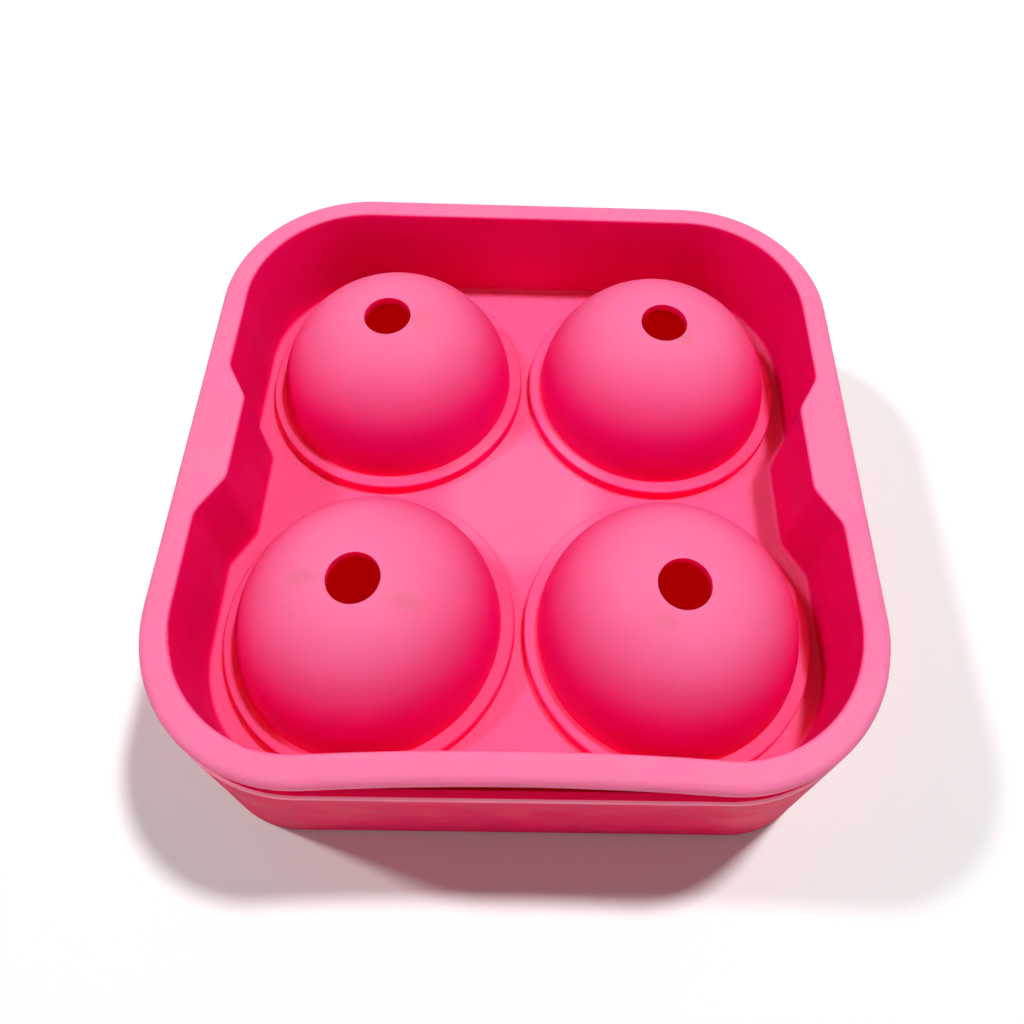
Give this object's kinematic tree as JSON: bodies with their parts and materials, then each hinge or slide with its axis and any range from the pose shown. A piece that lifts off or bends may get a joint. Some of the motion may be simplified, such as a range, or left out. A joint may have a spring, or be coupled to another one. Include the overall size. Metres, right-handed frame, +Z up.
{
  "type": "ice ball mould",
  "caption": "Square silicone mould for balls of ice: a tub with half-ball cups, and a lift-off tray of half-ball domes with a fill hole in each crown.",
  "frame": {"origin": "on the surface that the mould stands on, under the middle of the rim", "axes": "+Z up, +X to the right between the two finger grips, -Y towards the wall that is drawn in"},
  "size_m": [0.1228, 0.1218, 0.0487],
  "materials": {
    "pink_silicone": "satin, soft moulded silicone in one saturated pink"
  },
  "bodies": {
    "base": {"lower_half": "pink_silicone"},
    "lid": {"upper_half": "pink_silicone"}
  },
  "joints": [
    {"name": "lid_lift", "type": "slide", "parent": "base", "child": "lid", "axis": [0, 0, 1], "range_m": [0, 0.045]}
  ]
}
